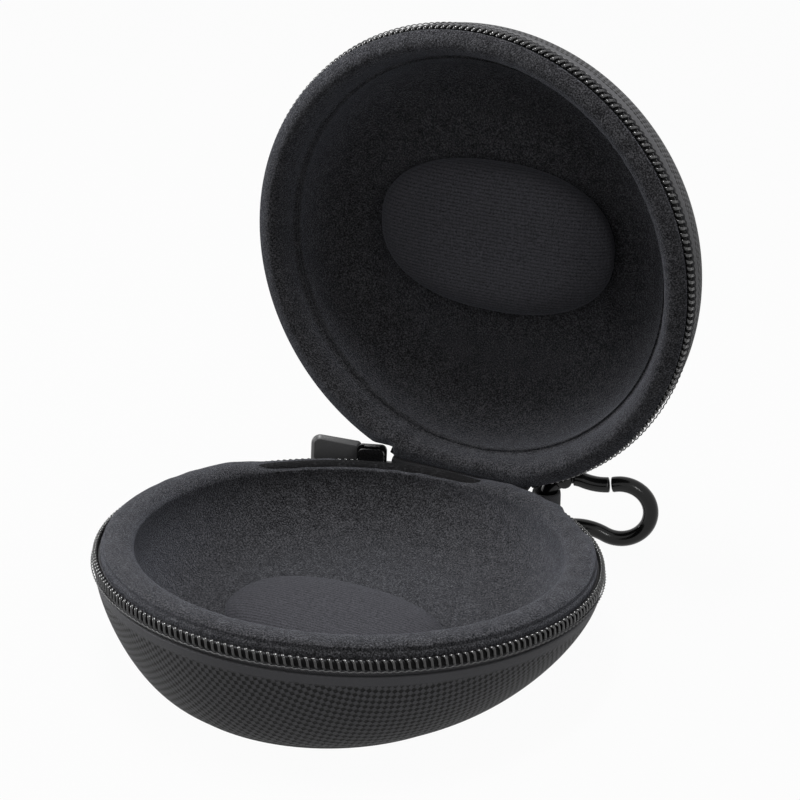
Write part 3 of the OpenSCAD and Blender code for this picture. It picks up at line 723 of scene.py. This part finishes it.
def coil(name, up, body, node, place):
    """One row of the nylon coil: each turn runs up outside, round its flattened head and down inside."""
    steps = 20
    low, high = PARTING_GAP + TOOTH_H - WIRE_R, HEAD_GAP + WIRE_R
    reach = TOOTH_W / 2 - WIRE_R
    path, size = [], []
    for a in tooth_angles(up):
        for k in range(steps):
            t = 360 * k / steps
            rise = (1 + np.sign(cosd(t)) * abs(cosd(t)) ** 0.7) / 2
            out = np.sign(sind(t)) * abs(sind(t)) ** 0.55 * reach
            z = low + (high - low) * rise
            lean = TOOTH_STEP * (k / steps - 0.5) * 0.9
            path.append([COIL_R + out, a + lean, z])
            head = max(0.0, cosd(t)) ** 3
            size.append([WIRE_R * (1 + 0.3 * head), WIRE_R * 0.85])
    path, size = np.asarray(path), np.asarray(size)
    sign = 1 if up else -1
    points = place(polar(path[:, 0], path[:, 1], sign * path[:, 2]))
    middle = place(polar(np.full(len(path), COIL_R), path[:, 1], np.full(len(path), sign * (low + high) / 2)))
    verts, faces = tube(points, size, sides=10, up=points - middle)
    dress(mesh_object(name, verts, faces), body, "zipper_coil", node)
    # A near-black strip inside the coil darkens the gaps between its turns: painted shade.
    a = run_of(up, 0.3, 0.35)
    depth = sign * (TOOTH_H / 2 + PARTING_GAP)
    core = place(polar(COIL_R, a, depth))
    upward = place(polar(COIL_R, a, depth + 1.0)) - core
    verts, faces = tube(core, (0.16, TOOTH_H / 2 - 0.25), sides=8, up=upward)
    dress(mesh_object(name + "_core", verts, faces), body, "zipper_tape", material="cord_black")


def run_of(up, spare, step):
    """Angles along a row of teeth, from its first tooth to its last, with that many degrees to spare."""
    row = tooth_angles(up)
    return np.arange(row[0] - spare, row[-1] + spare, step)


def sewing(name, up, body, place):
    """Thread that binds the coil's feet to the tape: one stitch over each turn."""
    sign = 1 if up else -1
    depth = PARTING_GAP + TOOTH_H - THREAD_R
    a = run_of(up, 0.5, TOOTH_STEP / 6)
    phase = 360 * (a - TEETH_FROM - up * TOOTH_STEP / 2) / TOOTH_STEP
    parts = []
    for r in (TOOTH_OUT + 0.06, TAPE_OUT - TAPE_T - 0.12):
        points = place(polar(r + 0.10 * cosd(phase), a, sign * (depth + 0.12 * sind(phase))))
        outward = place(polar(r + 1, a, sign * depth)) - place(polar(r, a, sign * depth))
        parts.append(tube(points, THREAD_R, sides=6, up=outward))
    dress(mesh_object(name, *join(parts)), body, "zipper_tape", material="thread")


def tape(name, body, node, side, place, a, low, foot, top):
    """A zipper tape: up from under the cover to its free edge beside the coil, and down again inside."""
    shares = np.linspace(0.4, 0, 9)

    def band(r, k):
        return place(polar(r, a, foot + (top - foot) * k))
    rings = [side(IN_COVER, s) for s in shares]
    rings += [band(TAPE_OUT + TAPE_CROWN * sind(180 * k) * (1 - low), k) for k in np.linspace(0.1, 1, 8)]
    rings += [band(TAPE_OUT - TAPE_T, k) for k in (1, 0.6, 0.3)]
    rings += [side(IN_COVER + TAPE_T, s) for s in shares[::-1]]
    faces = ring_faces(len(rings), len(a), closed=True)
    dress(mesh_object(name, np.asarray(rings).reshape(-1, 3), faces), body, "zipper_tape", node)


def base_tape():
    """The base's tape lies low behind the hinge."""
    a = angles()
    low = near(a, HINGE_ANGLE, HINGE_HALF + 1, 1.5)
    top = -TAPE_START + (TAPE_HEM - COVER_DROP + TAPE_START) * low
    tape("tape_base", "base", "lower_tape", base_side, rim_point, a, low, -COVER_DROP, top)


def lid_tape():
    """The lid's tape is open at the hinge and notched where the slider parks."""
    n = ROUND * 2
    a = angles(n)
    low = np.maximum(near(a, HINGE_ANGLE, HINGE_HALF + 0.8, 0.7),
                     near(a, SLIDER_ANGLE, PARKED_HALF + 0.4, 0.7))
    top = TAPE_START + (COVER_DROP - 0.9 - TAPE_START) * low

    def side(inset, share):
        return lid_side(inset, share, n)
    tape("tape_lid", "lid", "upper_tape", side, lid_point, a, low, COVER_DROP, top)


def hinge_strip():
    """One cloth strip from the base's edge to the lid's: straight at the fold, round where it is sewn."""
    half, reach, thick = HINGE_W / 2, COVER_DROP - 0.15, 0.7
    sewn_r, fold = TAPE_OUT + 0.35, 1.1
    n, m = 33, 41       # points along the hinge and across it
    x = np.linspace(-half - HINGE_CLOTH_EXTRA, half, n)
    rows = []
    for depth in (thick / 2, -thick / 2):
        for z in np.linspace(-reach, reach, m):
            sewn = min(1.0, abs(z) / reach) ** 1.3
            y = HINGE_Y + (np.sqrt(sewn_r ** 2 - x ** 2) - HINGE_Y) * sewn + depth
            share = ease(np.clip((z / fold + 1) / 2, 0, 1))
            rows.append(rim_point(open_point(np.stack([x, y, np.full(n, z)], -1), share)))
    faces, k = [], n * m
    for j in range(m - 1):
        for i in range(n - 1):
            a, b = j * n + i, (j + 1) * n + i
            faces += [(a, a + 1, b + 1, b), (k + a, k + b, k + b + 1, k + a + 1)]
    border = list(range(n)) + [j * n + n - 1 for j in range(1, m)]
    border += [(m - 1) * n + i for i in range(n - 2, -1, -1)] + [j * n for j in range(m - 2, 0, -1)]
    faces += [(a, b, k + b, k + a) for a, b in zip(border, border[1:] + border[:1])]
    strip = mesh_object("hinge_cloth", np.concatenate(rows), faces)
    strip.data.materials.append(MATERIALS["zipper_tape"])
    start, end = rim_point([0, HINGE_Y, -fold]), rim_point(open_point(np.array([0, HINGE_Y, fold])))
    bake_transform(strip)
    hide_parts("hinge_strip_base", "hinge_strip_lid")


# ---------------------------------------------------------------- pull, hook and loop
PIVOT_X = TOOTH_OUT + PLATE_GAP + PLATE_T + TAB_T / 2 + SLIDER_LEN / 2 * sind(PULL_LEAN) + TAB_PLAY


def at_pull(p):
    """Points of the pull's own frame: X out from the slider, Y along the pull, Z up the rim's normal."""
    x, y = turned(p[..., 0], p[..., 1], PULL_LEAN)
    x, y = turned(x + PIVOT_X, y, SLIDER_ANGLE)
    return rim_point(np.stack([x, y, p[..., 2]], -1))


def tab_outline(inset):
    """The tab's outline in its plane (along, up): it tapers to its root and is round at its far corners."""
    r = 2.4
    slope = math.degrees(math.atan2((TAB_H - TAB_ROOT_H) / 2, PULL_LEN - r - TAB_START))
    points = []
    for sign in (-1, 1):
        corner = np.linspace(-90 - slope, 0, 10) if sign < 0 else np.linspace(0, 90 + slope, 10)
        points += [(PULL_LEN - r + (r - inset) * cosd(a), sign * (TAB_H / 2 - r) + (r - inset) * sind(a))
                   for a in corner]
    root = TAB_ROOT_H / 2 - inset
    points += [(TAB_START + 0.6 + inset, root + 0.1), (TAB_START + inset, root - 0.5)]
    points += [(TAB_START + inset, -root + 0.5), (TAB_START + 0.6 + inset, -root - 0.1)]
    return np.asarray(points)


def pull_tab():
    """Moulded tab with a broad bevel round each face."""
    half, bevel = TAB_T / 2, 0.85
    rings = []
    for inset, x in ((bevel, -half), (0.0, -half + bevel), (0.0, half - bevel), (bevel, half)):
        outline = tab_outline(inset)
        rings.append(at_pull(np.stack([np.full(len(outline), x), outline[:, 0], outline[:, 1]], -1)))
    n = len(rings[0])
    verts = np.asarray(rings).reshape(-1, 3)
    tab = mesh_object("pull_tab_moulded", verts, ring_faces(len(rings), n) + end_faces(len(rings), n))
    soften(tab, 0.14, 3, 20)
    dress(tab, "pull", "pull_rubber", "pull_tab")


def hook_geometry():
    """The hook's outline: two round ends joined by a waist of two arcs that touch both."""
    waist_r = (OUTER_R ** 2 - WAIST_X ** 2 - WAIST_W ** 2) / (2 * (WAIST_W - OUTER_R))
    hang_x = math.sqrt((HANG_R + waist_r) ** 2 - (WAIST_W + waist_r) ** 2)
    waist_y = WAIST_W + waist_r
    return {"waist_r": waist_r, "hang_x": hang_x, "length": WAIST_X + hang_x, "waist_y": waist_y,
            "outer_turn": math.degrees(math.atan2(waist_y, WAIST_X)),
            "hang_turn": math.degrees(math.atan2(waist_y, hang_x))}


HOOK = hook_geometry()
LOOP_R = COVER_EDGE_R + LOOP_REACH
LOOP_X, LOOP_Y = LOOP_R * cosd(LOOP_ANGLE), RIM_SHIFT + LOOP_R * sind(LOOP_ANGLE)
HANG_Z = HOOK_CLEAR + BAR_R + OUTER_R + HOOK["length"] * sind(HOOK_DIP)
ACROSS_HOOK = [0, 0, 1.0]


def at_hook(p):
    """Points of the hook's own frame: X along its length from the hanging end, Z across its plane."""
    x, up = turned(p[..., 0], p[..., 1], -HOOK_DIP)
    x, y = turned(HANG_R + x, -p[..., 2], HOOK_TURN)
    return np.stack([LOOP_X + x, LOOP_Y + y, HANG_Z + up], -1)


def arc(centre, r, a0, a1, steps):
    """Points of the hook's outline along an arc, in its own frame."""
    a = np.linspace(a0, a1, steps)
    return np.stack([centre[0] + r * cosd(a), centre[1] + r * sind(a), 0 * a], -1)


def rounded_bar(path, last=True):
    """A bar along path in the hook's plane; its first end and, if asked, its last are low domes."""
    depth = BAR_R * 0.2
    dome = ((0.35, 0.94), (0.7, 0.72), (0.92, 0.4), (1.0, 0.05))    # shares of the depth and of the radius
    size = np.full(len(path), BAR_R)

    def close_end(path, size):
        away = (path[-1] - path[-2]) / np.linalg.norm(path[-1] - path[-2])
        keep = np.linalg.norm(path - path[-1], axis=1) > depth
        points = [path[-1] + away * depth * (f - 1) for f, w in dome]
        radii = [BAR_R * w for f, w in dome]
        return np.concatenate([path[keep], points]), np.concatenate([size[keep], radii])
    if last:
        path, size = close_end(path, size)
    path, size = close_end(path[::-1], size[::-1])
    return tube(path[::-1], np.stack([size, size], -1)[::-1], sides=24, up=ACROSS_HOOK)


def disc(centre, r, z0, z1, sides=40, edge=0.25):
    """A round plate across the hook's plane, with a small bevel."""
    middle = r * 0.02
    rings = [ring(rr, z, lambda p: p + [*centre, 0], sides) for rr, z in (
        (middle, z0), (r - edge, z0), (r, z0 + edge), (r, z1 - edge), (r - edge, z1), (middle, z1))]
    return np.concatenate(rings), ring_faces(len(rings), sides)


def hook_pieces():
    """The hook's ring with the two ears of its pivot, and the gate with the tongue between them."""
    h = HOOK
    upper, lower = (h["hang_x"], h["waist_y"]), (h["hang_x"], -h["waist_y"])
    nose = 180 + h["hang_turn"] + GATE_REACH
    gap = math.degrees(GATE_GAP / h["waist_r"])
    pin = (HANG_R * cosd(GATE_ANGLE), HANG_R * sind(GATE_ANGLE))
    ring_end, bar_end, neck_end = 17, 19, 22    # how many degrees from the pin each of them ends
    body_path = np.concatenate([
        arc(upper, h["waist_r"], nose + gap, 360 - h["outer_turn"], 6)[:-1],
        arc((h["length"], 0), OUTER_R, 180 - h["outer_turn"], h["outer_turn"] - 180, 64)[:-1],
        arc(lower, h["waist_r"], h["outer_turn"], 180 - h["hang_turn"], 16)[:-1],
        arc((0, 0), HANG_R, -h["hang_turn"], GATE_ANGLE - 360 + ring_end, 56)])
    ear_in = TONGUE_T / 2 + GATE_GAP
    ears = [disc(pin, BAR_R, -BAR_R, -ear_in), disc(pin, BAR_R, ear_in, BAR_R)]
    verts, faces = join([rounded_bar(body_path, last=False)] + ears)
    body = mesh_object("hook_ring", at_hook(verts), faces)
    soften(body, 0.05, 2, 50)
    dress(body, "hook", "hook_plastic", "hook_body")
    gate_path = np.concatenate([
        arc((0, 0), HANG_R, GATE_ANGLE - bar_end, h["hang_turn"], 24)[:-1],
        arc(upper, h["waist_r"], 180 + h["hang_turn"], nose, 16)])
    tongue = disc(pin, BAR_R - 0.2, -TONGUE_T / 2, TONGUE_T / 2)
    neck_path = arc((0, 0), HANG_R, GATE_ANGLE, GATE_ANGLE - neck_end, 6)
    neck = tube(neck_path, (BAR_R - 0.4, TONGUE_T / 2), sides=16, up=ACROSS_HOOK)
    verts, faces = join([rounded_bar(gate_path), tongue, neck])
    gate = mesh_object("hook_gate_bar", at_hook(verts), faces)
    soften(gate, 0.05, 2, 50)
    dress(gate, "gate", "hook_plastic", "hook_gate")


def webbing_loop():
    """A webbing strip round the hook's bar, its two ends sewn flat against the cover."""
    mid, neck = BAR_R + LOOP_SLACK + WEBBING_T / 2, 0.55
    wrap = math.degrees(math.asin(neck / mid))
    ends = np.linspace(COVER_EDGE_R + LAYER_GAP, LOOP_R - mid * cosd(wrap), 6)[:-1]
    points = [(x, -neck) for x in ends]
    points += [(LOOP_R + mid * cosd(a), mid * sind(a)) for a in np.linspace(180 + wrap, 540 - wrap, 49)]
    points += [(x, neck) for x in ends[::-1]]
    points = np.asarray(points)
    step = np.gradient(points, axis=0)
    normal = np.stack([step[:, 1], -step[:, 0]], -1) / np.linalg.norm(step, axis=1)[:, None]
    n = 9       # points across the webbing, on each face
    rows = []
    for k in range(2 * n):
        across = k % n / (n - 1) * 2 - 1
        side = 1 if k < n else -1
        thin_edge = 1 - 0.35 * abs(across) ** 6
        at = points + normal * (side * WEBBING_T / 2 * thin_edge)
        x, y = turned(at[:, 0], at[:, 1], LOOP_ANGLE)
        rows.append(np.stack([x, y + RIM_SHIFT, np.full(len(x), HANG_Z + across * side * WEBBING_W / 2)], -1))
    rings = np.swapaxes(np.asarray(rows), 0, 1)
    faces = ring_faces(len(rings), 2 * n) + end_faces(len(rings), 2 * n)
    dress(mesh_object("webbing_loop", rings.reshape(-1, 3), faces), "base", "webbing", "hang_loop")


# ---------------------------------------------------------------- kept nodes
def kept_nodes():
    """The frame's own solids that have the right shape: each one's material and the bevel of its edges."""
    finishes = (("base_foot", "rubber_foot", 0), ("base_core", "moulded_foam", 0),
                ("lid_core", "moulded_foam", 0), ("lower_stops", "slider_metal", 0.25),
                ("upper_stops", "slider_metal", 0.25), ("slider_body", "slider_metal", 0.18),
                ("slider_bridge", "slider_metal", 0.2), ("pull_link", "slider_metal", 0),
                ("gate_pin", "pin_steel", 0.12), ("gate_spring", "pin_steel", 0))
    for node, material, edge in finishes:
        piece = frame["nodes"][node]
        piece.data.materials.clear()
        piece.data.materials.append(MATERIALS[material])
        if edge:
            soften(piece, edge)


# ---------------------------------------------------------------- camera, light and floor
CAMERA_AZ, CAMERA_EL, CAMERA_LENS = 29.19, 23.4, 90.08
CAMERA_BACK, CAMERA_RIGHT, CAMERA_UP = 476.63, 11.91, 34.86     # from the rim's centre
SENSOR_W = 36.0
WORLD_LIGHT = 0.85      # the world's strength as light on the object; seen directly it is 1
FLOOR_GREY = 0.16
FLOOR_WHITE = 0.96      # how much of the floor's own shade is replaced by white where it is seen
FLOOR_HALF = 3000.0


def camera():
    """The camera that was fitted to the two rims in the photograph."""
    c, s = cosd(CAMERA_EL), sind(CAMERA_EL)
    back = Vector((sind(CAMERA_AZ) * c, -cosd(CAMERA_AZ) * c, s))
    right = Vector((cosd(CAMERA_AZ), sind(CAMERA_AZ), 0))
    up = back.cross(right)
    rim = Vector((0, RIM_SHIFT, RIM_H))
    data = bpy.data.cameras.new("camera")
    data.lens, data.sensor_width, data.clip_start = CAMERA_LENS, SENSOR_W, 0.01
    eye = bpy.data.objects.new("camera", data)
    place = rim + back * CAMERA_BACK + right * CAMERA_RIGHT + up * CAMERA_UP
    turn = Matrix((right, up, back)).transposed()
    eye.matrix_world = Matrix.Translation(place * MM) @ turn.to_4x4()
    bpy.context.scene.collection.objects.link(eye)
    bpy.context.scene.camera = eye


def lamp(name, energy, size, at, aim):
    """A rectangular lamp of that power in watts and size in metres, at one point, aimed at another."""
    data = bpy.data.lights.new(name, "AREA")
    data.energy, data.shape, data.size, data.size_y = energy, "RECTANGLE", size[0], size[1]
    light = bpy.data.objects.new(name, data)
    light.location = at
    light.rotation_euler = (Vector(aim) - Vector(at)).to_track_quat("-Z", "Y").to_euler()
    bpy.context.scene.collection.objects.link(light)


def seen_directly(tree):
    """1 for rays from the camera, off gloss or through glass, and 0 for the light on the object."""
    path = tree.nodes.new("ShaderNodeLightPath")
    total = path.outputs["Is Camera Ray"]
    for key in ("Is Glossy Ray", "Is Transmission Ray"):
        node = tree.nodes.new("ShaderNodeMath")
        node.operation = "MAXIMUM"
        tree.links.new(total, node.inputs[0])
        tree.links.new(path.outputs[key], node.inputs[1])
        total = node.outputs[0]
    return total


def world():
    """Even white light from all round, seen directly as white."""
    scene = bpy.context.scene
    scene.world = bpy.data.worlds.new("studio")
    scene.world.use_nodes = True
    tree = scene.world.node_tree
    background = tree.nodes["Background"]
    background.inputs["Color"].default_value = (1, 1, 1, 1)
    strength = tree.nodes.new("ShaderNodeMapRange")
    strength.inputs["To Min"].default_value = WORLD_LIGHT
    strength.inputs["To Max"].default_value = 1.0
    tree.links.new(seen_directly(tree), strength.inputs["Value"])
    tree.links.new(strength.outputs[0], background.inputs["Strength"])
    scene.view_settings.view_transform = "Standard"


def floor():
    """A grey floor that keeps the object's shadow, and is seen as nearly white."""
    corners = [(FLOOR_HALF * x, FLOOR_HALF * y, 0) for x, y in ((-1, -1), (1, -1), (1, 1), (-1, 1))]
    piece = mesh_object("floor", corners, [(0, 1, 2, 3)], smooth=False)
    m = Nodes("floor")
    m.set(Roughness=0.9, Specular_IOR_Level=0.0, Base_Color=(*[FLOOR_GREY] * 3, 1))
    glow = m.add("Emission")
    mixer = m.add("MixShader")
    m.link(m.math("MULTIPLY", seen_directly(m.tree), FLOOR_WHITE), mixer.inputs[0])
    m.link(m.shader.outputs[0], mixer.inputs[1])
    m.link(glow.outputs[0], mixer.inputs[2])
    m.link(mixer.outputs[0], m.tree.nodes["Material Output"].inputs["Surface"])
    piece.data.materials.append(m.material)


def lights():
    """A soft lamp above, a strong one low on the left and a narrow one on the right."""
    lamp("top", 10.0, (0.30, 0.14), (-0.10, 0.02, 0.80), (0, 0.02, 0.04))
    lamp("left", 5.5, (0.2, 0.35), (-0.75, -0.10, 0.30), (0, 0.03, 0.05))
    lamp("right", 1.0, (0.05, 0.3), (0.60, -0.45, 0.35), (0.02, 0.05, 0.06))


base_cover()
lid_cover()
base_lining()
lid_lining()
cushions()
base_tape()
lid_tape()
coil("coil_base", 0, "base", "lower_teeth", rim_point)
coil("coil_lid", 1, "lid", "upper_teeth", lid_point)
sewing("coil_sewing_base", 0, "base", rim_point)
sewing("coil_sewing_lid", 1, "lid", lid_point)
hinge_strip()
pull_tab()
hook_pieces()
webbing_loop()
kept_nodes()
camera()
world()
floor()
lights()
